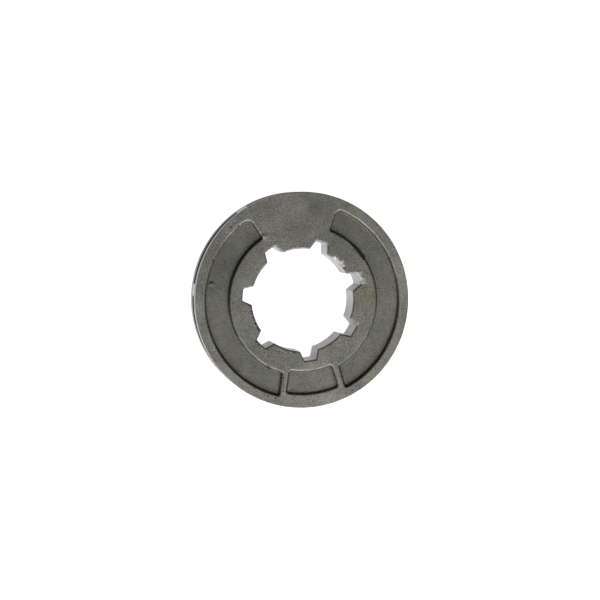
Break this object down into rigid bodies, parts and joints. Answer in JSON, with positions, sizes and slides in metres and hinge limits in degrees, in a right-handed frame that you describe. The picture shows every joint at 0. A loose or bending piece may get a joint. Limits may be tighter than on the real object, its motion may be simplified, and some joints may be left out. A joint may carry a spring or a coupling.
{
  "type": "chainsaw rim sprocket",
  "caption": "Cast steel ring with a splined bore; teeth and pockets between its flanges drive a saw chain, and one face has long shallow recesses.",
  "frame": {"origin": "on the axis of the bore, in the plane of the plain back face", "axes": "+Z along the axis towards the recessed front face, -Y towards the mark pocket"},
  "size_m": [0.036, 0.036, 0.006],
  "materials": {
    "cast_steel": "as-cast steel with fine grain, warm dark grey, satin"
  },
  "bodies": {
    "root": {"rim_sprocket": "cast_steel"}
  },
  "joints": []
}
